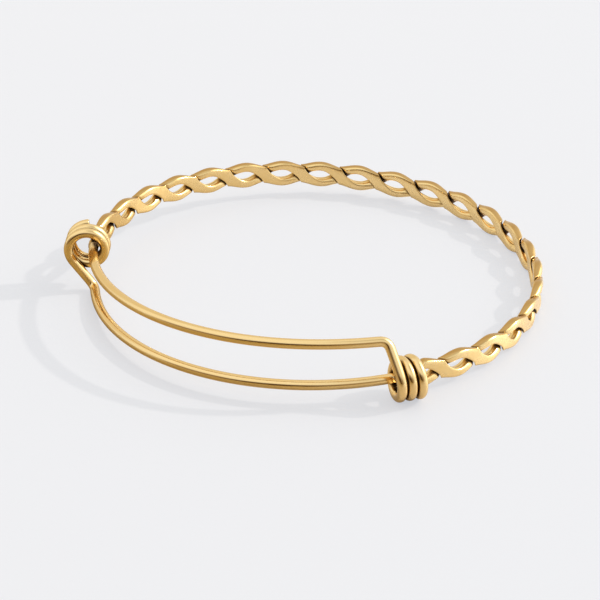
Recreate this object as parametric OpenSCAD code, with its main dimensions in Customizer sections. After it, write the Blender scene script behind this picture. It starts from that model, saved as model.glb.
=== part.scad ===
// Adjustable wire bangle. Two wires, twisted together and rolled flat, make
// the band round the back. At each end of the band one wire stops inside a
// coil and the other runs on as a plain round rail across the front. Each
// rail then bends up or down and is wound as the coil in which the band's
// other end slides, so the hoop can be opened and closed on the wrist.
//
// A hoop angle is 0 at the middle of the rails (-Y) and grows towards +X.
// In a cross-section of the hoop, n is outwards from the wrist and z is up.

/* [Hoop] */
// Radius of the band's centre line
hoop_r = 32; // [28:0.5:36]
// How far the hoop is pressed out of round
oval = 0.32; // [0:0.04:0.6]
// How far its left end stands out
left_out = 0.3; // [0:0.05:0.5]
// Hoop angle from the middle of the rails to the middle of each coil
coil_angle = 57; // [52:1:60]
// Height of the band's left end over its middle, and of the middle over the right end
band_rise = 1.2; // [0:0.1:1.6]

/* [Twisted band] */
// Hoop angle from one opening of the twist to the next
half_turn = 10.95; // [10.5:0.05:11.4]
// Hoop angle of the crossing at the back
crossing_angle = 176.2; // [170:0.1:180]
// How far the openings at the back stand off an even spacing
twist_lag = 0.85; // [0.5:0.05:1.2]
// Thickness of the rolled band
band_t = 1.45; // [1.3:0.05:1.8]
// Height of the band over an opening
open_h = 4; // [3.6:0.01:4.1]
// Height of the band over a crossing
cross_h = 2.75; // [2.4:0.05:2.9]
// Height of an opening
hole_h = 1.44; // [0.9:0.01:1.6]
// Room between the two wires where they cross
wire_gap = 0.22; // [0.18:0.01:0.26]
// How deep the lower wire dips beside the upper one
dip = 0.22; // [0:0.01:0.4]

/* [Rails] */
// Diameter of the plain round wire
wire_d = 1.4; // [1.2:0.05:1.45]
// Height that a rail gains from the band's end to its bend
rail_climb = 3.35; // [2.6:0.05:3.7]
// How far the rails bow apart in the middle
rail_bow = 0.15; // [0:0.05:0.8]
// How far a rail draws in towards the wrist on its way
rail_draw = 0.96; // [0:0.08:1.2]
// How far each rail's bend stands back from its coil, on the right and on the left
right_leg_back = 1.0; // [0:0.1:1.4]
left_leg_back = 0; // [0:0.1:1.4]
// Radius of the bend from a rail into its coil
bend_r = 1.15; // [1:0.05:1.5]

/* [Coils] */
// Outside diameter of the right coil
right_coil_d = 6.35; // [6.25:0.05:6.7]
// Outside diameter of the left coil
left_coil_d = 6.65; // [6.3:0.05:6.8]
// Turns from the outer side of the coil to the wire's cut end
coil_turns = 2.25; // [1.25:1:3.25]
// Distance from one turn to the next
coil_pitch = 1.5; // [1.45:0.01:1.6]
// How far each coil stands higher than the wire inside it, on the right and on the left
right_coil_lift = 0.2; // [0:0.05:0.25]
left_coil_lift = 0.1; // [0:0.05:0.2]
// How far a coil hangs outwards from the wire inside it
coil_hang = 0.895; // [0.7:0.005:0.92]

/* [Resting place] */
// Slope of the hoop where it lies, front edge up
rest_front = 2.64; // [0:0.01:5]
// Slope of the hoop where it lies, left side up
rest_left = 0.93; // [-3:0.01:3]
// Height of the hoop's centre over the surface
rest_h = 3.868; // [2:0.001:6]
// Shift of the hoop towards the back
rest_back = -0.201; // [-2:0.001:2]

/* [Hidden] */

gold = [0.86, 0.70, 0.40];
wire_r = wire_d / 2;

// Room between two pieces that meet end to end
seam = 0.1;

// Sides of a round wire, and rings along each stretch
wire_sides = 16;
rail_rings = 36;
bend_rings = 6;
leg_rings = 3;
coil_step = 15;
rings_per_half_turn = 11;

// Directions of the points round a band wire, closest at its four edges
wire_dirs = [0, 26, 45, 64, 90, 116, 135, 154, 180, 206, 225, 244, 270, 296, 315, 334];

// Sharpness of a band wire's edges, and how long its flat stays level at an opening
edge_power = 3.2;
opening_ease = 21;

// Phases from an opening's middle at which it starts to narrow and is closed
hole_full = 4;
hole_end = 70;

// How far a wire is rounded off towards the other one beside a crossing, and over what phase
shoulder_drop = 0.42;
shoulder_reach = 50;

// How soon the band swells from its height at a crossing to its height at an opening
swell_power = 1.35;

// Hoop angle over which the left end comes to stand out
left_reach = 24;

// How late a rail comes back out to the circle, and how soon its left end leaves the band's
draw_power = 6;
leave_power = 8;

// Share of a rail its length is taken from, and its bend's room as a part of the bend's radius
end_share = 0.1;
bend_room = 1.1;

// Middle and half width of the stretch where the openings stand off
lag_angle = 195;
lag_reach = 97;

// Hoop angles of a coil: half its length, its mouth, and where the twin wire stops in it
coil_half = coil_pitch * coil_turns / 2;
mouth_angle = coil_angle + (coil_half + wire_r) / hoop_r * 180 / PI;
twin_end = coil_angle + 3;
rolled_end = coil_angle + 1.8;
full_band = mouth_angle + 0.9;
tight_band = mouth_angle - 1.3;

// Size and shift of the band where it is squeezed into a coil
tight_h = 2.1;
tight_t = 1.3;
tight_hole = 0.12;
tight_shift = 0.35;

function unit(v) = v / norm(v);
function mix(p, q, t) = p + (q - p) * t;
function clamp(t) = min(1, max(0, t));
function ease(t) = let (c = clamp(t)) c * c * (3 - 2 * c);

// The hoop's own directions at a hoop angle
function out(a) = [sin(a), -cos(a), 0];
function along(a) = [cos(a), sin(a), 0];
up = [0, 0, 1];

function left_part(a) = ease(1 - abs((a + 360) % 360 - 360 + coil_angle) / left_reach);
function hoop_radius(a) = hoop_r - oval * sin(2 * a);
function band_radius(a) = hoop_radius(a) + left_out * left_part(a);
function band_height(a) = band_rise * (a - 180) / (180 - coil_angle);
function place(a, r, z) = out(a) * r + up * z;

// A closed skin over rings that all have the same number of points
module skin(rings) {
    count = len(rings);
    sides = len(rings[0]);
    points = [for (ring = rings) for (p = ring) p];
    walls = [
        for (i = [0 : count - 2]) for (j = [0 : sides - 1])
            let (k = (j + 1) % sides, low = i * sides, high = low + sides)
                each [[low + j, high + j, low + k], [high + j, high + k, low + k]]
    ];
    first = [for (j = [0 : sides - 1]) j];
    last = [for (j = [sides - 1 : -1 : 0]) (count - 1) * sides + j];
    polyhedron(points, concat([first], walls, [last]));
}

// The band's cross-section: the phase is 0 where a wire is on top and 90 where
// it is outside. A wire is the part of the band past a flat, which is level at
// an opening, upright at a crossing and turns over quickly between the two.
function lag(a) = twist_lag * (1 - pow((a - lag_angle) / lag_reach, 2));
function phase(a, start) = 180 * (a + lag(a) - crossing_angle) / half_turn + start;
function squeeze(a) = ease((min(a, 360 - a) - tight_band) / (full_band - tight_band));
function flat_tilt(ph) = ph - opening_ease * sin(2 * ph);

// The band's half height at a phase, the height and thickness of half an
// opening, and the room up to the band's face on the wire's outer side
function swell(ph) = pow(abs(cos(ph)), swell_power);
function half_h(ph, s) = mix(tight_h, mix(cross_h, open_h, swell(ph)), s) / 2;
function half_hole(s) = mix(tight_hole, hole_h, s) / 2;
function half_t(side, s) = mix(tight_t, band_t, s) / 2 - dip * s * pow(max(0, -side), 2);
function flat_off(ph, s) = mix(wire_gap / 2, half_hole(s), openness(ph));

// Phase from the nearest opening's middle, and how open the band is there
function from_middle(ph) = acos(min(1, abs(cos(ph))));
function openness(ph) = ease((hole_end - from_middle(ph)) / (hole_end - hole_full));

// How far the side that faces the other wire is rounded off beside a crossing
function shoulder(ph, s) =
    shoulder_drop * s * pow(sin(180 * min(1, (90 - from_middle(ph)) / shoulder_reach)), 2);

// How much of the way to a flat a step v takes, as a power that adds up
function share(v, reach) = pow(max(0, v) / reach, edge_power);

// Cross-section of one band wire as [n, z] points
function wire_section(ph, s) =
    let (
        tilt = flat_tilt(ph),
        t = mix(tight_t, band_t, s),
        round_part = pow(cos(ph), 2),
        wide = mix((t - wire_gap) / 4, t / 2, round_part),
        high = mix(half_h(90, s), (half_h(0, s) - half_hole(s)) / 2, round_part),
        n = (t + wire_gap) / 4 * sin(ph),
        z = (half_h(0, s) + half_hole(s)) / 2 * cos(ph),
        flat_room = n * sin(tilt) + z * cos(tilt) - flat_off(ph, s),
        above = half_h(ph, s) - z - (z < 0 ? shoulder(ph, s) : 0),
        below = half_h(ph, s) + z - (z < 0 ? 0 : shoulder(ph, s))
    )
    [
        for (dir = wire_dirs)
            let (
                dn = wide * sin(dir),
                dz = high * cos(dir),
                total = share(dn, half_t(sin(ph), s) - n)
                    + share(-dn, half_t(-sin(ph), s) + n)
                    + share(dz, above)
                    + share(-dz, below)
                    + share(-dn * sin(tilt) - dz * cos(tilt), flat_room),
                step = pow(total, -1 / edge_power)
            )
            [n + step * dn, z + step * dz]
    ];

// The plain round wire with as many points, for the change from rolled to round
round_section = [for (dir = wire_dirs) [wire_r * sin(dir), wire_r * cos(dir)]];

// One ring of a band wire: rolled is 1 in the band and 0 where it is round
function band_ring(a, start, rolled) =
    let (
        s = squeeze(a),
        ph = phase(a, start),
        flat = wire_section(ph, s),
        shift = mix(tight_shift * rolled, 0, s)
    )
    [
        for (i = [0 : len(flat) - 1])
            let (p = mix(round_section[i], flat[i], rolled))
                place(a, band_radius(a) + p[0] + shift, band_height(a) + p[1])
    ];

// Rings stand closer together where the flat turns over
function closer(a, start) = a + half_turn / 180 * opening_ease * sin(2 * phase(a, start));

module band_strand(first, last, start) {
    count = ceil((last - first) / half_turn * rings_per_half_turn);
    skin([
        for (i = [0 : count])
            let (
                even = mix(first, last, i / count),
                a = i == 0 || i == count ? even : closer(even, start),
                rolled = ease((min(a, 360 - a) - coil_angle) / (rolled_end - coil_angle))
            )
            band_ring(a, start, rolled)
    ]);
}

// A rail from the band's end (u = 0) to its bend (u = 1). The lower rail runs
// from right to left, and the upper one is the same turned over.
function leg_back(side) = side > 0 ? left_leg_back : right_leg_back;
function rail_angle(u, side) =
    mix(coil_angle, (coil_half + leg_back(side)) / hoop_r * 180 / PI - coil_angle, u);
function rail_drop(u) = band_rise + rail_climb * u + rail_bow * 4 * u * (1 - u);
function rail_radius(a, u, side) =
    hoop_radius(a) - rail_draw * (u - pow(u, draw_power))
        + (side < 0 ? left_out * pow(1 - u, leave_power) : 0);
function rail_point(u, side) =
    let (a = side * rail_angle(u, side))
        place(a, rail_radius(a, u, side), -side * rail_drop(u));

function round_ring(centre, x, y, sides) = [
    for (i = [0 : sides - 1])
        centre + wire_r * (cos(360 * i / sides) * x + sin(360 * i / sides) * y)
];

// Where a rail ends and its bend begins
rail_length = norm(rail_point(1, 1) - rail_point(1 - end_share, 1)) / end_share;
rail_end = 1 - bend_room * bend_r / rail_length;
seam_part = seam / rail_length;

module rail(side) {
    skin([
        for (i = [0 : rail_rings])
            let (
                u = mix(seam_part, rail_end - seam_part, i / rail_rings),
                a = side * rail_angle(u, side)
            )
            round_ring(rail_point(u, side), out(a), side * up, wire_sides)
    ]);
}

// A round bend from a towards b at the corner point v, as a list of points
function bend(a, v, b, r, n) =
    let (
        to_a = unit(a - v),
        to_b = unit(b - v),
        half = acos(to_a * to_b) / 2,
        centre = v + unit(to_a + to_b) * r / sin(half),
        x = unit(v - centre),
        y = unit(to_b - (to_b * x) * x)
    )
    [
        for (i = [0 : n])
            let (t = mix(half - 90, 90 - half, i / n))
                centre + r * (cos(t) * x + sin(t) * y)
    ];

// The coil's wire: off the rail, round the bend, down the leg and round the
// turns. The right coil (side 1) is wound down from the upper rail, and the
// left one (side -1) is wound up from the lower rail.
function coil_path(side, coil_d, lift) =
    let (
        a = side * coil_angle,
        r = coil_d / 2 - wire_r,
        centre = place(a, band_radius(a) + coil_hang, lift - side * band_rise),
        x = out(a),
        y = side * up,
        axis = side * along(a),
        start = rail_point(rail_end, -side),
        top = rail_point(1, -side),
        reach = [(top - centre) * x, (top - centre) * y],
        touch = acos(r / norm(reach)) - atan2(reach[1], reach[0]),
        turn_steps = ceil((360 * coil_turns - touch) / coil_step),
        turns = [
            for (i = [0 : turn_steps])
                let (t = mix(touch, 360 * coil_turns, i / turn_steps))
                    centre + r * (cos(t) * x - sin(t) * y)
                    + axis * (coil_pitch * t / 360 - coil_half)
        ],
        corner = bend(start, top, turns[0], bend_r, bend_rings),
        leg = [
            for (i = [1 : leg_rings])
                mix(corner[bend_rings], turns[0], i / (leg_rings + 1))
        ]
    )
    concat([start], corner, leg, turns);

// Directions along a path of points, and across it without any twist
function path_dirs(p, first) = [
    for (i = [0 : len(p) - 1])
        i == 0 ? first : unit(p[min(i + 1, len(p) - 1)] - p[i - 1])
];
function path_sides(dirs, first) = [
    for (i = 0, s = first; i < len(dirs); i = i + 1,
        s = i < len(dirs) ? unit(s - (s * dirs[i]) * dirs[i]) : s) s
];

module coil(side, coil_d, lift) {
    path = coil_path(side, coil_d, lift);
    a = -side * rail_angle(rail_end, -side);
    dirs = path_dirs(path, side * along(a));
    sides = path_sides(dirs, out(a));
    skin([
        for (i = [0 : len(path) - 1])
            round_ring(path[i], sides[i], cross(dirs[i], sides[i]), wire_sides)
    ]);
}

// The hoop as it lies on a surface by itself
module resting() {
    translate([0, rest_back, rest_h])
        rotate([-rest_front, rest_left, 0])
            children();
}

module band_wire() {
    color(gold)
        resting()
            band_strand(coil_angle, 360 - coil_angle, -90);
}

module twin_wire() {
    color(gold)
        resting()
            band_strand(twin_end, 360 - twin_end, 90);
}

module lower_rail() {
    color(gold)
        resting()
            rail(1);
}

module upper_rail() {
    color(gold)
        resting()
            rail(-1);
}

module right_coil() {
    color(gold)
        resting()
            coil(1, right_coil_d, right_coil_lift);
}

module left_coil() {
    color(gold)
        resting()
            coil(-1, left_coil_d, left_coil_lift);
}

band_wire();
twin_wire();
lower_rail();
upper_rail();
right_coil();
left_coil();
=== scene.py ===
import math

import bpy
from mathutils import Matrix, Vector
from mathutils.bvhtree import BVHTree


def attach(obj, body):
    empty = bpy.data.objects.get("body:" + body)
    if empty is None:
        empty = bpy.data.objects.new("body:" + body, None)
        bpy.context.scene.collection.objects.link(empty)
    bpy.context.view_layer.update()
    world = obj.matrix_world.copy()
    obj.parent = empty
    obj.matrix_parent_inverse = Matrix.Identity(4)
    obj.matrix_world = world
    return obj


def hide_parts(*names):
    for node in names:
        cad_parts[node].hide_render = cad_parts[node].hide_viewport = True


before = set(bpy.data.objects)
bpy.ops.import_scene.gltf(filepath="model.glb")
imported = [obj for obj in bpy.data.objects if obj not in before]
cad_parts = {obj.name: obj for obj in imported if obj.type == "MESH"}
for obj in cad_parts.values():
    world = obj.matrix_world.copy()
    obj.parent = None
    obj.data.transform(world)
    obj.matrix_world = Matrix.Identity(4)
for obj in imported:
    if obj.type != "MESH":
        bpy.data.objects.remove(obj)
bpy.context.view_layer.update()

# Sizes of the hoop, in mm and degrees. A hoop angle is 0 at the middle of
# the rails (-Y) and grows towards +X; n is outwards from the wrist, z is up.
# The hoop is a little oval, and its left coil stands a little further out.
MM = 0.001
HOOP_R = 32.0
OVAL = 0.32
LEFT_OUT = 0.3
LEFT_REACH = 24.0
COIL_ANGLE = 57.0
BAND_RISE = 1.2

# The twist of the band: half a turn goes from one opening to the next. The
# openings lag most at the back, and not at all the lag's reach away from it.
HALF_TURN = 10.95
CROSSING_ANGLE = 176.2
TWIST_LAG = 0.85
LAG_ANGLE = 195.0
LAG_REACH = 97.0

# The rolled section of the band: its thickness, its height at an opening and
# where the wires cross, the opening, the slit at a crossing, how square the
# outline and its cut are, and how the side towards the other wire is rounded
BAND_T = 1.45
OPEN_H = 4.0
CROSS_H = 2.75
SWELL_POWER = 1.35
HOLE_H = 1.44
WIRE_GAP = 0.22
DIP = 0.22
OPENING_EASE = 21.0
HOLE_FULL = 4.0
HOLE_END = 70.0
OUTLINE_POWER = 3.0
CUT_POWER = 3.4
SHOULDER = 0.42
SHOULDER_REACH = 50.0

# The band where it is squeezed into a coil
TIGHT_H = 2.1
TIGHT_T = 1.3
TIGHT_HOLE = 0.12
TIGHT_SHIFT = 0.35

# The plain round wire, its two rails and its coils. A side is 1 for the lower
# rail, which leaves the band at the right, and -1 for the upper one. A coil is
# 1 for the right one, in which the upper rail ends, and -1 for the left one.
WIRE_R = 0.7
RAIL_CLIMB = 3.35
RAIL_BOW = 0.15
RAIL_DRAW = 0.96
DRAW_POWER = 6
LEAVE_POWER = 8
END_SHARE = 0.1
BEND_ROOM = 1.1
LEG_BACK = {1: 0.0, -1: 1.0}
BEND_R = 1.15
COIL_D = {1: 6.35, -1: 6.65}
COIL_LIFT = {1: 0.2, -1: 0.1}
COIL_TURNS = 2.25
COIL_PITCH = 1.5
COIL_HANG = 0.895
COIL_HALF = COIL_PITCH * COIL_TURNS / 2
SEAM = 0.1

# Hoop angles at which the band changes on its way into a coil
MOUTH_ANGLE = COIL_ANGLE + math.degrees((COIL_HALF + WIRE_R) / HOOP_R)
TWIN_END = COIL_ANGLE + 3
ROLLED_END = COIL_ANGLE + 1.8
FULL_BAND = MOUTH_ANGLE + 0.9
TIGHT_BAND = MOUTH_ANGLE - 1.3

# How finely each wire is made
WIRE_SIDES = 32
WIRE_STEP = 0.25
BAND_SIDES = 64
SECTION_POINTS = 120
EDGE_CROWDING = 0.55
RINGS_PER_HALF_TURN = 40
RAIL_POINTS = 200
BEND_POINTS = 24
COIL_POINTS = 240
CORNER_EASINGS = 4
END_BEVEL = 0.09
END_BEVEL_STEPS = 3
SMOOTH_ANGLE = 32.0

# How the hoop lies on the floor: where its middle is, and how far its left
# side and its front are up
REST_AT = (0, -0.201, 3.868)
REST_LEFT = 0.93
REST_FRONT = 2.64
RESTING = (
    Matrix.Translation(Vector(REST_AT) * MM)
    @ Matrix.Rotation(math.radians(REST_LEFT), 4, "Y")
    @ Matrix.Rotation(math.radians(-REST_FRONT), 4, "X")
)
UP = Vector((0, 0, 1))


def mix(p, q, t):
    return p + (q - p) * t


def ease(t):
    c = min(1, max(0, t))
    return c * c * (3 - 2 * c)


def sind(a):
    return math.sin(math.radians(a))


def cosd(a):
    return math.cos(math.radians(a))


# Camera at the photograph's angle, placed from the hoop. Aside is how far its
# aim is to the left of the hoop's middle and below it.
CAMERA_AZIMUTH = 34.3
CAMERA_ELEVATION = 27.7
CAMERA_ROLL = 2.6
CAMERA_DISTANCE = 320.0
CAMERA_ASIDE = (2.4, 5.0)
CAMERA_SENSOR = 36.0
FOCAL_PIXELS = 2192
PICTURE_PIXELS = 600


def camera_axes():
    """The camera's right, up and back directions in the hoop's frame"""
    az, el = CAMERA_AZIMUTH, CAMERA_ELEVATION
    back = Vector((sind(az) * cosd(el), -cosd(az) * cosd(el), sind(el)))
    right = Vector((cosd(az), sind(az), 0))
    up = back.cross(right)
    c, s = cosd(CAMERA_ROLL), sind(CAMERA_ROLL)
    return c * right + s * up, c * up - s * right, back


def add_camera():
    right, up, back = camera_axes()
    aside, above = CAMERA_ASIDE
    at = (back * CAMERA_DISTANCE - right * aside - up * above) * MM
    turned = Matrix((right, up, back)).transposed().to_4x4()
    bpy.ops.object.camera_add()
    camera = bpy.context.object
    camera.name = "photo_camera"
    camera.data.lens = FOCAL_PIXELS / PICTURE_PIXELS * CAMERA_SENSOR
    camera.data.sensor_width = CAMERA_SENSOR
    camera.data.clip_start = 0.01
    camera.data.clip_end = 20
    camera.matrix_world = RESTING @ Matrix.Translation(at) @ turned
    bpy.context.scene.camera = camera


add_camera()


# The hoop's own directions and radii at a hoop angle
def out(a):
    return Vector((sind(a), -cosd(a), 0))


def along(a):
    return Vector((cosd(a), sind(a), 0))


def place(a, r, z):
    return out(a) * r + UP * z


def left_part(a):
    """1 in the middle of the left coil, fading to 0 at its reach"""
    return ease(1 - abs((a + 360) % 360 - 360 + COIL_ANGLE) / LEFT_REACH)


def hoop_radius(a):
    return HOOP_R - OVAL * sind(2 * a)


def band_radius(a):
    return hoop_radius(a) + LEFT_OUT * left_part(a)


def band_height(a):
    return BAND_RISE * (a - 180) / (180 - COIL_ANGLE)


# A band wire's section. The phase is 0 where the wire is on top, 90 outside,
# and s is 1 in the full band, 0 where a coil squeezes it.
def phase(a, start):
    lag = TWIST_LAG * (1 - ((a - LAG_ANGLE) / LAG_REACH) ** 2)
    return 180 * (a + lag - CROSSING_ANGLE) / HALF_TURN + start


def squeeze(a):
    return ease((min(a, 360 - a) - TIGHT_BAND) / (FULL_BAND - TIGHT_BAND))


def half_height(ph, s):
    swell = abs(cosd(ph)) ** SWELL_POWER
    return mix(TIGHT_H, mix(CROSS_H, OPEN_H, swell), s) / 2


def half_hole(s):
    return mix(TIGHT_HOLE, HOLE_H, s) / 2


def half_thickness(side, s):
    """Half the thickness; the wire that is behind at a crossing dips a little"""
    return mix(TIGHT_T, BAND_T, s) / 2 - DIP * s * max(0, -side) ** 2


def openness(ph):
    """1 along the middle of an opening, 0 where the wires cross"""
    from_middle = 90 - abs(ph % 180 - 90)
    return ease((HOLE_END - from_middle) / (HOLE_END - HOLE_FULL))


def shoulder(ph, s):
    """How far the side that faces the other wire is rounded off by a crossing"""
    past = abs(ph % 180 - 90) / SHOULDER_REACH
    return SHOULDER * s * sind(180 * min(1, past)) ** 2


def share(v, reach, power):
    return (max(0, v) / reach) ** power


def edge_directions(count):
    """Directions round a section, closest together at its four edges"""
    even = [360 * i / count for i in range(count)]
    return [t + EDGE_CROWDING * math.degrees(sind(4 * t)) / 4 for t in even]


DIRECTIONS = edge_directions(SECTION_POINTS)


def section_middle(ph, s):
    """Middle of a section, and how wide and high it is to each side of it"""
    t = mix(TIGHT_T, BAND_T, s)
    at_opening = cosd(ph) ** 2
    wide = mix((t - WIRE_GAP) / 4, t / 2, at_opening)
    high = mix(half_height(90, s), (half_height(0, s) - half_hole(s)) / 2, at_opening)
    n = (t + WIRE_GAP) / 4 * sind(ph)
    z = (half_height(0, s) + half_hole(s)) / 2 * cosd(ph)
    return n, z, wide, high


def band_section(ph, s):
    """Section of a band wire: (n, z, how far it belongs to a rolled face)"""
    n, z, wide, high = section_middle(ph, s)
    outer = half_thickness(sind(ph), s) - n
    inner = half_thickness(-sind(ph), s) + n
    up = half_height(ph, s) - z - (shoulder(ph, s) if cosd(ph) < 0 else 0)
    down = half_height(ph, s) + z - (0 if cosd(ph) < 0 else shoulder(ph, s))
    tilt = ph - OPENING_EASE * sind(2 * ph)
    cut_off = mix(WIRE_GAP / 2, half_hole(s), openness(ph))
    cut_room = n * sind(tilt) + z * cosd(tilt) - cut_off
    section = []
    for d in DIRECTIONS:
        dn, dz = wide * sind(d), high * cosd(d)
        rolled = share(dn, outer, OUTLINE_POWER) + share(-dn, inner, OUTLINE_POWER)
        free = share(dz, up, OUTLINE_POWER) + share(-dz, down, OUTLINE_POWER)
        cut = share(-dn * sind(tilt) - dz * cosd(tilt), cut_room, CUT_POWER)
        outline = rolled + free
        step = (outline ** (CUT_POWER / OUTLINE_POWER) + cut) ** (-1 / CUT_POWER)
        section.append(Vector((n + step * dn, z + step * dz, rolled / outline * s)))
    return evenly_round(section, BAND_SIDES)


# Points at even distances along a line
def running_lengths(points):
    lengths = [0.0]
    for p, q in zip(points, points[1:]):
        lengths.append(lengths[-1] + (q - p).length)
    return lengths


def spaced_along(points, lengths, count):
    """The line's points at count even steps, both ends among them"""
    spaced, i = [], 0
    for k in range(count + 1):
        at = lengths[-1] * k / count
        while i < len(points) - 2 and lengths[i + 1] < at:
            i += 1
        t = (at - lengths[i]) / (lengths[i + 1] - lengths[i])
        spaced.append(points[i].lerp(points[i + 1], t))
    return spaced


def evenly_round(section, count):
    """Points evenly spaced round a closed section"""
    closed = section + section[:1]
    lengths = running_lengths([p.to_2d() for p in closed])
    return spaced_along(closed, lengths, count)[:-1]


def even_steps(route, step):
    """The same route with points a step apart, its corners eased"""
    lengths = running_lengths(route)
    points = spaced_along(route, lengths, round(lengths[-1] / step))
    for _ in range(CORNER_EASINGS):
        between = zip(points, points[1:], points[2:])
        eased = [(p + 2 * q + r) / 4 for p, q, r in between]
        points = points[:1] + eased + points[-1:]
    return points


# The middle lines of the rails and coils, in the hoop's frame
def rail_angle(u, side):
    at_bend = math.degrees((COIL_HALF + LEG_BACK[side]) / HOOP_R) - COIL_ANGLE
    return mix(COIL_ANGLE, at_bend, u)


def rail_point(u, side):
    """A rail's middle line, from the band (u 0) to the corner of its bend (u 1)"""
    a = side * rail_angle(u, side)
    drop = BAND_RISE + RAIL_CLIMB * u + RAIL_BOW * 4 * u * (1 - u)
    r = hoop_radius(a) - RAIL_DRAW * (u - u**DRAW_POWER)
    if side < 0:
        r += LEFT_OUT * (1 - u) ** LEAVE_POWER
    return place(a, r, -side * drop)


def bend(a, v, b, count):
    """A round bend from a towards b at the corner v"""
    to_a, to_b = (a - v).normalized(), (b - v).normalized()
    half = math.degrees(math.acos(to_a.dot(to_b))) / 2
    centre = v + (to_a + to_b).normalized() * BEND_R / sind(half)
    x = (v - centre).normalized()
    y = (to_b - to_b.dot(x) * x).normalized()
    turns = [mix(half - 90, 90 - half, i / count) for i in range(count + 1)]
    return [centre + BEND_R * (cosd(t) * x + sind(t) * y) for t in turns]


def coil_route(coil, corner):
    """The turns of a coil, from where the leg out of the bend touches them"""
    a = coil * COIL_ANGLE
    r = COIL_D[coil] / 2 - WIRE_R
    rise = -coil * BAND_RISE + COIL_LIFT[coil]
    centre = place(a, band_radius(a) + COIL_HANG, rise)
    x, y, axis = out(a), coil * UP, coil * along(a)
    right, up = (corner - centre).dot(x), (corner - centre).dot(y)
    touch = math.degrees(math.acos(r / math.hypot(right, up)) - math.atan2(up, right))
    turns = []
    for i in range(COIL_POINTS + 1):
        t = mix(touch, 360 * COIL_TURNS, i / COIL_POINTS)
        on_circle = centre + r * (cosd(t) * x - sind(t) * y)
        turns.append(on_circle + axis * (COIL_PITCH * t / 360 - COIL_HALF))
    return turns


def rail_and_coil_route(side):
    """Middle line of a rail, its bend and leg, and the coil at its end"""
    corner = rail_point(1, side)
    length = (corner - rail_point(1 - END_SHARE, side)).length / END_SHARE
    first, last = SEAM / length, 1 - BEND_ROOM * BEND_R / length
    steps = [mix(first, last, i / RAIL_POINTS) for i in range(RAIL_POINTS + 1)]
    rail = [rail_point(u, side) for u in steps]
    turns = coil_route(-side, corner)
    return rail + bend(rail[-1], corner, turns[0], BEND_POINTS)[1:] + turns


# Each wire starts straight along +X, as it comes off its spool
def straight_wire(name, rings, step, sides):
    """One ring drawn out, repeated and closed at both ends"""
    bpy.ops.object.select_all(action="DESELECT")
    bpy.ops.mesh.primitive_circle_add(
        vertices=sides, radius=WIRE_R * MM, rotation=(0, math.pi / 2, 0)
    )
    wire = bpy.context.object
    wire.name = wire.data.name = name
    bpy.ops.object.transform_apply(location=False, rotation=True, scale=False)
    drawn_out = {"value": (step * MM, 0, 0)}
    bpy.ops.object.mode_set(mode="EDIT")
    bpy.ops.mesh.select_all(action="SELECT")
    bpy.ops.mesh.extrude_region_move(TRANSFORM_OT_translate=drawn_out)
    bpy.ops.object.mode_set(mode="OBJECT")
    run = wire.modifiers.new("run", "ARRAY")
    run.count = rings
    run.use_relative_offset = False
    run.use_constant_offset = True
    run.constant_offset_displace = (step * MM, 0, 0)
    run.use_merge_vertices = True
    run.merge_threshold = step * MM / 10
    bpy.ops.object.modifier_apply(modifier="run")
    close_ends(wire, rings * step * MM)
    return wire


def select_where(wire, chosen):
    """In edit mode, selects the vertices whose place is chosen"""
    bpy.ops.object.mode_set(mode="EDIT")
    bpy.ops.mesh.select_mode(type="VERT")
    bpy.ops.mesh.select_all(action="DESELECT")
    bpy.ops.object.mode_set(mode="OBJECT")
    for v in wire.data.vertices:
        v.select = chosen(v.co)
    bpy.ops.object.mode_set(mode="EDIT")


def close_ends(wire, length):
    """Fills both cut ends and takes the burr off their rims"""
    for at in (0, length):
        select_where(wire, lambda co: abs(co.x - at) < MM / 100)
        bpy.ops.mesh.edge_face_add()
        bpy.ops.mesh.bevel(
            offset=END_BEVEL * MM, segments=END_BEVEL_STEPS, affect="EDGES"
        )
    bpy.ops.mesh.select_all(action="SELECT")
    bpy.ops.mesh.normals_make_consistent(inside=False)
    bpy.ops.object.mode_set(mode="OBJECT")


def keep_straight_places(wire):
    """Keeps each point's place on the straight wire, which the finish follows"""
    drawn = wire.data.attributes.new("drawn", "FLOAT_VECTOR", "POINT")
    for v, kept in zip(wire.data.vertices, drawn.data):
        kept.vector = v.co


def lay_along(wire, route):
    """Bends the straight wire along a route of points"""
    line = bpy.data.curves.new("route", "CURVE")
    line.dimensions = "3D"
    line.twist_mode = "MINIMUM"
    spline = line.splines.new("POLY")
    spline.points.add(len(route) - 1)
    for point, p in zip(spline.points, route):
        point.co = (*p, 1)
    guide = bpy.data.objects.new("route", line)
    bpy.context.scene.collection.objects.link(guide)
    follow = wire.modifiers.new("follow", "CURVE")
    follow.object = guide
    follow.deform_axis = "POS_X"
    bpy.ops.object.modifier_apply(modifier="follow")
    bpy.data.objects.remove(guide)


def finish_wire(wire, material, nodes):
    """Gives a shaped wire its gold, and puts it in place of its nodes"""
    wire.data.materials.append(material)
    bpy.ops.object.shade_smooth_by_angle(angle=math.radians(SMOOTH_ANGLE))
    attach(wire, "root")
    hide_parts(*nodes)


def add_round_wire(name, side, material, nodes):
    """A rail with the coil it ends in, as one plain round wire"""
    resting = [RESTING @ (p * MM) for p in rail_and_coil_route(side)]
    route = even_steps(resting, WIRE_STEP * MM)
    rings = len(route) - 1
    step = running_lengths(route)[-1] / MM / rings
    wire = straight_wire(name, rings, step, WIRE_SIDES)
    keep_straight_places(wire)
    lay_along(wire, route)
    finish_wire(wire, material, nodes)
    return wire


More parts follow.
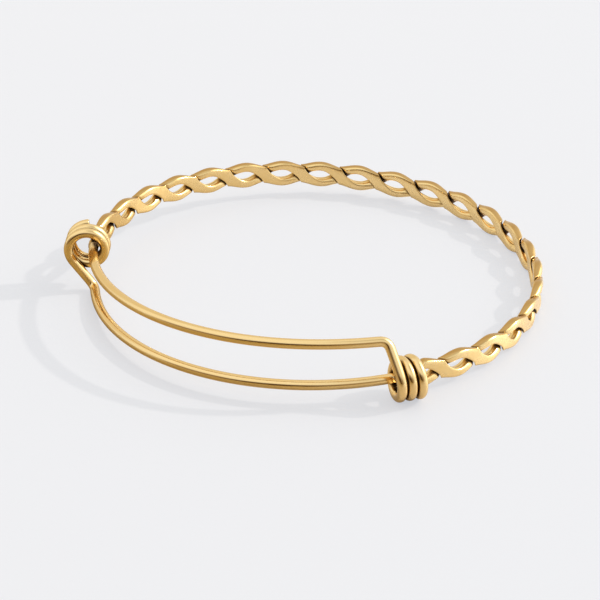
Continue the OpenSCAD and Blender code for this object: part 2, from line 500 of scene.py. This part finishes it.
def roll_into_band(wire, first, last, start, rings, step):
    """Moves each point of the straight wire to its place in the rolled band"""
    rolled_face = wire.data.attributes.new("rolled", "FLOAT", "POINT")
    sections = {}
    for v in wire.data.vertices:
        i = v.co.x / (step * MM)
        a = mix(first, last, i / rings)
        # Rings stand closer where the section turns fastest; cut ends stay flat
        if 0.5 < i < rings - 0.5:
            a += HALF_TURN / 180 * OPENING_EASE * sind(2 * phase(a, start))
        rolled = ease((min(a, 360 - a) - COIL_ANGLE) / (ROLLED_END - COIL_ANGLE))
        ring = round(i * 1000)
        if ring not in sections:
            s = squeeze(a)
            sections[ring] = (s, band_section(phase(a, start), s))
        s, section = sections[ring]
        turn = math.degrees(math.atan2(-v.co.y, v.co.z))
        radius = math.hypot(v.co.y, v.co.z)
        pressed = section[round(turn / 360 * BAND_SIDES) % BAND_SIDES]
        inward = radius / (WIRE_R * MM)
        n = mix(radius / MM * sind(turn), pressed[0] * inward, rolled)
        n += TIGHT_SHIFT * rolled * (1 - s)
        z = mix(radius / MM * cosd(turn), pressed[1] * inward, rolled)
        v.co = RESTING @ (place(a, band_radius(a) + n, band_height(a) + z) * MM)
        rolled_face.data[v.index].value = pressed[2] * rolled
    wire.data.update()


def add_band_wire(name, node, end, start, material):
    """A band wire from one coil to the other; start shifts its phase"""
    first, last = end, 360 - end
    rings = math.ceil((last - first) / HALF_TURN * RINGS_PER_HALF_TURN)
    step = math.radians(last - first) * HOOP_R / rings
    wire = straight_wire(name, rings, step, BAND_SIDES)
    keep_straight_places(wire)
    roll_into_band(wire, first, last, start, rings, step)
    finish_wire(wire, material, [node])
    return wire


# Colours of the gold, with painted shade on the band's sides and in its crevices, and
# how rough it is where it is satin, polished or in a crevice. A scratch adds to the
# roughness and is a share of the marks' height deep.
FACE_GOLD = (0.97, 0.73, 0.355, 1)
# Painted shade: the band's sides are darker, standing in for the dark reflections they
# show
SIDE_SHADE_GOLD = (0.64, 0.4, 0.14, 1)
WARM_GOLD = (0.94, 0.68, 0.29, 1)
POLISHED_GOLD = (0.97, 0.705, 0.325, 1)
# Painted shade: near-black gold where a crevice lies in shade
CREVICE_SHADE_GOLD = (0.12, 0.055, 0.012, 1)
SATIN = (0.24, 0.33)
POLISH = (0.1, 0.17)
EDGE_POLISH = 0.17
CREVICE_ROUGHNESS = 0.5
MARK_ROUGHNESS = 0.09
MARK_DEPTH = 0.5
MARK_HEIGHT = 0.01
PER_MM = 1 / MM

# The patterns of the marks, for each mm or in mm, and where each fades in
LINES_ALONG = 0.35
HAIRS_PER_MM = (1.1, 24, 3)
HAIR_FADE = (0.6, 0.68)
DRIFT_SIZE = 2.6
DRIFT_FADE = (0.3, 0.7)
DRIFT_IN_CREVICE_SHADE = 0.16
FACE_FADE = (0.12, 0.5)
SATIN_FADE = (0.6, 0.95)


def add_node(tree, kind, inputs, **settings):
    """A node with its settings made and each input given a value or a link"""
    node = tree.nodes.new(kind)
    for name, value in settings.items():
        setattr(node, name, value)
    for socket, value in inputs.items():
        if isinstance(value, bpy.types.NodeSocket):
            tree.links.new(value, node.inputs[socket])
        else:
            node.inputs[socket].default_value = value
    return node


def calculated(tree, operation, *values):
    inputs = dict(enumerate(values))
    return add_node(tree, "ShaderNodeMath", inputs, operation=operation).outputs[0]


def mapped(tree, value, start, end, results=(0.0, 1.0), fade="LINEAR"):
    """A value's place between start and end, turned into a place between results"""
    inputs = {"Value": value, "From Min": start, "From Max": end}
    inputs.update({"To Min": results[0], "To Max": results[1]})
    made = add_node(tree, "ShaderNodeMapRange", inputs, interpolation_type=fade)
    return made.outputs["Result"]


def noise(tree, where, scale, detail, roughness=0.5):
    inputs = {"Vector": where, "Scale": scale, "Detail": detail}
    inputs["Roughness"] = roughness
    return add_node(tree, "ShaderNodeTexNoise", inputs).outputs["Fac"]


def kept_on_wire(tree, name, output):
    kept = add_node(tree, "ShaderNodeAttribute", {}, attribute_name=name)
    return kept.outputs[output]


def mixed(tree, kind, factor, first, second):
    inputs = {"Factor": factor, "A": first, "B": second}
    return add_node(tree, "ShaderNodeMix", inputs, data_type=kind).outputs["Result"]


def colour_mix(tree, factor, first, second):
    return mixed(tree, "RGBA", factor, first, second)


def number_mix(tree, factor, first, second):
    return mixed(tree, "FLOAT", factor, first, second)


def new_group(name, inputs, output):
    """A node group with named number or vector inputs and one number output"""
    tree = bpy.data.node_groups.new(name, "ShaderNodeTree")
    for socket, value in inputs.items():
        vector = value is None
        kind = "NodeSocketVector" if vector else "NodeSocketFloat"
        made = tree.interface.new_socket(socket, in_out="INPUT", socket_type=kind)
        if not vector:
            made.default_value = value
    tree.interface.new_socket(output, in_out="OUTPUT", socket_type="NodeSocketFloat")
    given = tree.nodes.new("NodeGroupInput").outputs
    return tree, given, tree.nodes.new("NodeGroupOutput").inputs


def use_group(tree, group, inputs):
    return add_node(tree, "ShaderNodeGroup", inputs, node_tree=group).outputs[0]


def make_drawing_lines():
    """Fine lines along the wire, left by the die it was drawn through"""
    inputs = {"Place": None, "Lines": 14.0}
    tree, given, result = new_group("drawing_lines", inputs, "Height")
    across = calculated(tree, "MULTIPLY", given["Lines"], PER_MM)
    scale = add_node(
        tree,
        "ShaderNodeCombineXYZ",
        {"X": LINES_ALONG * PER_MM, "Y": across, "Z": across},
    )
    place_on_wire = add_node(
        tree,
        "ShaderNodeVectorMath",
        {0: given["Place"], 1: scale.outputs[0]},
        operation="MULTIPLY",
    )
    lines = noise(tree, place_on_wire.outputs[0], 1.0, 3.0, 0.6)
    tree.links.new(lines, result["Height"])
    return tree


def make_hairlines():
    """Hair-thin scratches from wearing, slanting across the wire"""
    inputs = {"Place": None, "Slant": 0.6, "Amount": 0.5}
    tree, given, result = new_group("hairlines", inputs, "Mask")
    turn = add_node(tree, "ShaderNodeCombineXYZ", {"Z": given["Slant"]})
    slanted = add_node(
        tree,
        "ShaderNodeMapping",
        {
            "Vector": given["Place"],
            "Rotation": turn.outputs[0],
            "Scale": [count * PER_MM for count in HAIRS_PER_MM],
        },
    )
    lines = noise(tree, slanted.outputs[0], 1.0, 2.0)
    thin = mapped(tree, lines, *HAIR_FADE, (0.0, given["Amount"]), "SMOOTHSTEP")
    tree.links.new(thin, result["Mask"])
    return tree


def make_tone_drift():
    """Slow change of tone along and round the piece"""
    inputs = {"Place": None, "Size": 3.0}
    tree, given, result = new_group("tone_drift", inputs, "Tone")
    scale = calculated(tree, "DIVIDE", PER_MM, given["Size"])
    drift = noise(tree, given["Place"], scale, 3.0, 0.55)
    tree.links.new(mapped(tree, drift, *DRIFT_FADE), result["Tone"])
    return tree


def make_painted_crevice_shade():
    """Painted shade: the gold darkened in the crevices, where metal is close all round
    """
    inputs = {"Crevice": 0.0, "Drift": 0.5, "Start": 0.45, "Full": 0.8}
    tree, given, result = new_group("painted_crevice_shade", inputs, "Mask")
    drift, crevice = given["Drift"], given["Crevice"]
    uneven = calculated(tree, "MULTIPLY_ADD", drift, DRIFT_IN_CREVICE_SHADE, crevice)
    level = calculated(tree, "SUBTRACT", uneven, DRIFT_IN_CREVICE_SHADE / 2)
    mask = mapped(tree, level, given["Start"], given["Full"], fade="SMOOTHSTEP")
    tree.links.new(mask, result["Mask"])
    return tree


drawing_lines = make_drawing_lines()
hairlines = make_hairlines()
tone_drift = make_tone_drift()
painted_crevice_shade = make_painted_crevice_shade()


def gold(name, lines, start, full):
    """A new gold with what both finishes share: its nodes, shader and masks"""
    material = bpy.data.materials.new(name)
    material.use_nodes = True
    tree = material.node_tree
    shader = tree.nodes["Principled BSDF"]
    shader.inputs["Metallic"].default_value = 1
    drawn = kept_on_wire(tree, "drawn", "Vector")
    crevice = kept_on_wire(tree, "crevice", "Fac")
    where = add_node(tree, "ShaderNodeTexCoord", {}).outputs["Object"]
    tone = use_group(tree, tone_drift, {"Place": where, "Size": DRIFT_SIZE})
    along_wire = {"Place": drawn, "Slant": 0.5, "Amount": 0.8}
    over_all = {"Place": where, "Slant": -0.9, "Amount": 0.6}
    crevices = {"Crevice": crevice, "Drift": tone, "Start": start, "Full": full}
    made = {
        "lines": use_group(tree, drawing_lines, {"Place": drawn, "Lines": lines}),
        "scratch": use_group(tree, hairlines, along_wire),
        "back_scratch": use_group(tree, hairlines, over_all),
        "tone": tone,
        "shade_in_crevices": use_group(tree, painted_crevice_shade, crevices),
    }
    return material, tree, shader, made


def finish_gold(tree, shader, made, colour, roughness, strength):
    """Joins the shared marks to the shader: painted shade and dulling in the crevices,
    scuffs and lines
    """
    marks = calculated(tree, "MAXIMUM", made["scratch"], made["back_scratch"])
    # Painted shade: the colour goes dark where the crevice mask is high
    shaded_colour = colour_mix(tree, made["shade_in_crevices"], colour, CREVICE_SHADE_GOLD)
    scuffed = calculated(tree, "MULTIPLY_ADD", marks, MARK_ROUGHNESS, roughness)
    dulled = number_mix(tree, made["shade_in_crevices"], scuffed, CREVICE_ROUGHNESS)
    height = calculated(tree, "MULTIPLY_ADD", marks, -MARK_DEPTH, made["lines"])
    bump = add_node(
        tree,
        "ShaderNodeBump",
        {"Height": height, "Strength": strength, "Distance": MARK_HEIGHT * MM},
    )
    tree.links.new(shaded_colour, shader.inputs["Base Color"])
    tree.links.new(dulled, shader.inputs["Roughness"])
    tree.links.new(bump.outputs["Normal"], shader.inputs["Normal"])


def make_rolled_gold():
    """The band: satin on its rolled faces, painted darker on its sides as shade,
    bright on its edges
    """
    material, tree, shader, made = gold(
        "rolled_gold", lines=9.0, start=0.24, full=0.62
    )
    rolled = kept_on_wire(tree, "rolled", "Fac")
    face = mapped(tree, rolled, *FACE_FADE, fade="SMOOTHSTEP")
    flat = colour_mix(tree, made["tone"], FACE_GOLD, WARM_GOLD)
    # Painted shade: the sides take the darker gold, the rolled faces the pale one
    colour = colour_mix(tree, face, SIDE_SHADE_GOLD, flat)
    satin = mapped(tree, made["tone"], 0.0, 1.0, SATIN)
    pressed = mapped(tree, rolled, *SATIN_FADE, fade="SMOOTHSTEP")
    roughness = number_mix(tree, pressed, EDGE_POLISH, satin)
    finish_gold(tree, shader, made, colour, roughness, strength=0.35)
    return material


def make_drawn_gold():
    """The round wire: polished, a little warmer in patches"""
    material, tree, shader, made = gold(
        "drawn_gold", lines=12.0, start=0.2, full=0.5
    )
    colour = colour_mix(tree, made["tone"], POLISHED_GOLD, FACE_GOLD)
    roughness = mapped(tree, made["tone"], 0.0, 1.0, POLISH)
    finish_gold(tree, shader, made, colour, roughness, strength=0.22)
    return material


# The four wires, each in place of the nodes it stands for
rolled_gold = make_rolled_gold()
drawn_gold = make_drawn_gold()
wires = [
    add_band_wire("rolled_band_wire", "band_wire", COIL_ANGLE, -90, rolled_gold),
    add_band_wire("rolled_twin_wire", "twin_wire", TWIN_END, 90, rolled_gold),
    add_round_wire("lower_round_wire", 1, drawn_gold, ["lower_rail", "left_coil"]),
    add_round_wire("upper_round_wire", -1, drawn_gold, ["upper_rail", "right_coil"]),
]

# How enclosed each point of the wires is, looked for this far and this many ways; the
# gold is painted dark there, as shade
CREVICE_REACH = 2.2
CREVICE_RAYS = 12
CREVICE_LIFT = 0.03
CREVICE_SOFTENINGS = 2
GOLDEN_ANGLE = 137.508


def half_ball(count):
    """Directions over the half ball round +Z, most of them near its middle"""
    looks = []
    for i in range(count):
        r = math.sqrt((i + 0.5) / count)
        turn = GOLDEN_ANGLE * i
        looks.append(Vector((r * cosd(turn), r * sind(turn), math.sqrt(1 - r * r))))
    return looks


def as_one_surface(wires):
    points, faces = [], []
    for wire in wires:
        first = len(points)
        points += [v.co.copy() for v in wire.data.vertices]
        faces += [[first + i for i in f.vertices] for f in wire.data.polygons]
    return BVHTree.FromPolygons(points, faces)


def how_enclosed(v, around, looks):
    """0 where a point looks out freely, towards 1 where metal is close all round"""
    turned = v.normal.to_track_quat("Z", "Y")
    start = v.co + v.normal * CREVICE_LIFT * MM
    reach = CREVICE_REACH * MM
    met = 0.0
    for look in looks:
        distance = around.ray_cast(start, turned @ look, reach)[3]
        if distance is not None:
            met += 1 - (distance / reach) ** 2
    return met / len(looks)


def softened(values, edges):
    """Each point's value averaged with those of the points next to it"""
    total, count = values[:], [1] * len(values)
    for e in edges:
        p, q = e.vertices
        total[p] += values[q]
        total[q] += values[p]
        count[p] += 1
        count[q] += 1
    return [t / c for t, c in zip(total, count)]


def mark_crevices(wires):
    """Keeps on each point how enclosed it is by the wires round it"""
    around = as_one_surface(wires)
    looks = half_ball(CREVICE_RAYS)
    for wire in wires:
        mesh = wire.data
        enclosed = [how_enclosed(v, around, looks) for v in mesh.vertices]
        for _ in range(CREVICE_SOFTENINGS):
            enclosed = softened(enclosed, mesh.edges)
        crevice = mesh.attributes.new("crevice", "FLOAT", "POINT")
        crevice.data.foreach_set("value", enclosed)


mark_crevices(wires)

# The floor is pale card, lit a little from within. The metal sees it shaded
# in front and lit behind, fading between two distances, which are in mm from
# its middle towards the lit side.
FLOOR_SIZE = 8
FLOOR_CARD = (0.25, 0.237, 0.225, 1)
FLOOR_TOOTH = (0.262, 0.249, 0.236, 1)
FLOOR_GLOW = (0.511, 0.534, 0.577, 1)
FLOOR_LIT = (0.75, 0.745, 0.79, 1)
FLOOR_SHADED = (0.34, 0.235, 0.065, 1)
UNLIT = (0, 0, 0, 1)
LIT_AZIMUTH = 60.0
LIT_AT = 40.0
SHADED_AT = -40.0
TOOTH_PER_MM = 2.5
TOOTH_STRENGTH = 0.15
TOOTH_HEIGHT = 0.02
CARD_ROUGHNESS = 0.6
COAT_ROUGHNESS = 0.4
COAT_IOR = 1.35

# The light that casts the shadows
KEY_AZIMUTH = 49.0
KEY_ELEVATION = 34.5
KEY_STRENGTH = 1.5
KEY_SIZE = 2.0

# The room that the metal reflects, and its soft parts: azimuth from +X,
# elevation, where each is full and where it ends in degrees, and its colour
ROOM = (0.875, 0.875, 0.885)
ROOM_PARTS = (
    (-130, 55, 15, 60, (1.0, 1.0, 0.99)),
    (50, 25, 15, 50, (1.13, 1.13, 1.12)),
    (12, 68, 4, 26, (0.64, 0.62, 0.58)),
    (148, 20, 26, 46, (0.8, 0.73, 0.6)),
    (-112, 0, 4, 36, (0.28, 0.2, 0.13)),
    (-38, 4, 4, 36, (0.33, 0.25, 0.16)),
    (-74, 3, 13, 37, (0.07, 0.032, 0.006)),
    (49, 36, 12, 30, (2.7, 2.7, 2.65)),
)


def direction(azimuth, elevation):
    """A direction at an azimuth from +X and an elevation above the floor"""
    c = cosd(elevation)
    return Vector((c * cosd(azimuth), c * sind(azimuth), sind(elevation)))


def towards(tree, where, azimuth, elevation):
    """How far a place or a look goes in one direction"""
    inputs = {0: where, 1: direction(azimuth, elevation)}
    made = add_node(tree, "ShaderNodeVectorMath", inputs, operation="DOT_PRODUCT")
    return made.outputs["Value"]


def make_floor_card():
    """White card on a light table, which the metal sees without its glow"""
    material = bpy.data.materials.new("floor_card")
    material.use_nodes = True
    tree = material.node_tree
    shader = tree.nodes["Principled BSDF"]
    where = add_node(tree, "ShaderNodeTexCoord", {}).outputs["Object"]
    in_metal = add_node(tree, "ShaderNodeLightPath", {}).outputs["Is Glossy Ray"]
    across = towards(tree, where, LIT_AZIMUTH, 0)
    lit = mapped(tree, across, SHADED_AT * MM, LIT_AT * MM, fade="SMOOTHSTEP")
    tooth = noise(tree, where, TOOTH_PER_MM * PER_MM, 3.0)
    card = colour_mix(tree, tooth, FLOOR_CARD, FLOOR_TOOTH)
    mirrored = colour_mix(tree, lit, FLOOR_SHADED, FLOOR_LIT)
    colour = colour_mix(tree, in_metal, card, mirrored)
    glow = colour_mix(tree, in_metal, FLOOR_GLOW, UNLIT)
    bump = add_node(
        tree,
        "ShaderNodeBump",
        {"Height": tooth, "Strength": TOOTH_STRENGTH, "Distance": TOOTH_HEIGHT * MM},
    )
    tree.links.new(colour, shader.inputs["Base Color"])
    tree.links.new(glow, shader.inputs["Emission Color"])
    tree.links.new(in_metal, shader.inputs["Coat Weight"])
    tree.links.new(bump.outputs["Normal"], shader.inputs["Normal"])
    shader.inputs["Emission Strength"].default_value = 1
    shader.inputs["Coat Roughness"].default_value = COAT_ROUGHNESS
    shader.inputs["Coat IOR"].default_value = COAT_IOR
    shader.inputs["Roughness"].default_value = CARD_ROUGHNESS
    return material


def add_floor():
    bpy.ops.object.select_all(action="DESELECT")
    bpy.ops.mesh.primitive_plane_add(size=FLOOR_SIZE)
    floor = bpy.context.object
    floor.name = "floor"
    floor.data.materials.append(make_floor_card())


def add_key_light():
    from_key = direction(KEY_AZIMUTH, KEY_ELEVATION)
    bpy.ops.object.light_add(type="SUN")
    key = bpy.context.object
    key.name = "key_light"
    key.data.energy = KEY_STRENGTH
    key.data.angle = math.radians(KEY_SIZE)
    key.matrix_world = from_key.to_track_quat("Z", "Y").to_matrix().to_4x4()


def add_room():
    """A pale room all round, with brighter and darker parts that fade into it"""
    world = bpy.data.worlds.new("room")
    bpy.context.scene.world = world
    world.use_nodes = True
    tree = world.node_tree
    tree.nodes.clear()
    where = add_node(tree, "ShaderNodeTexCoord", {}).outputs["Generated"]
    seen = (*ROOM, 1)
    for azimuth, elevation, full, end, colour in ROOM_PARTS:
        near = towards(tree, where, azimuth, elevation)
        part = mapped(tree, near, cosd(end), cosd(full), fade="SMOOTHSTEP")
        seen = colour_mix(tree, part, seen, (*colour, 1))
    glow = add_node(tree, "ShaderNodeBackground", {"Color": seen})
    inputs = {"Surface": glow.outputs["Background"]}
    add_node(tree, "ShaderNodeOutputWorld", inputs)


add_floor()
add_key_light()
add_room()
bpy.context.scene.view_settings.view_transform = "Standard"
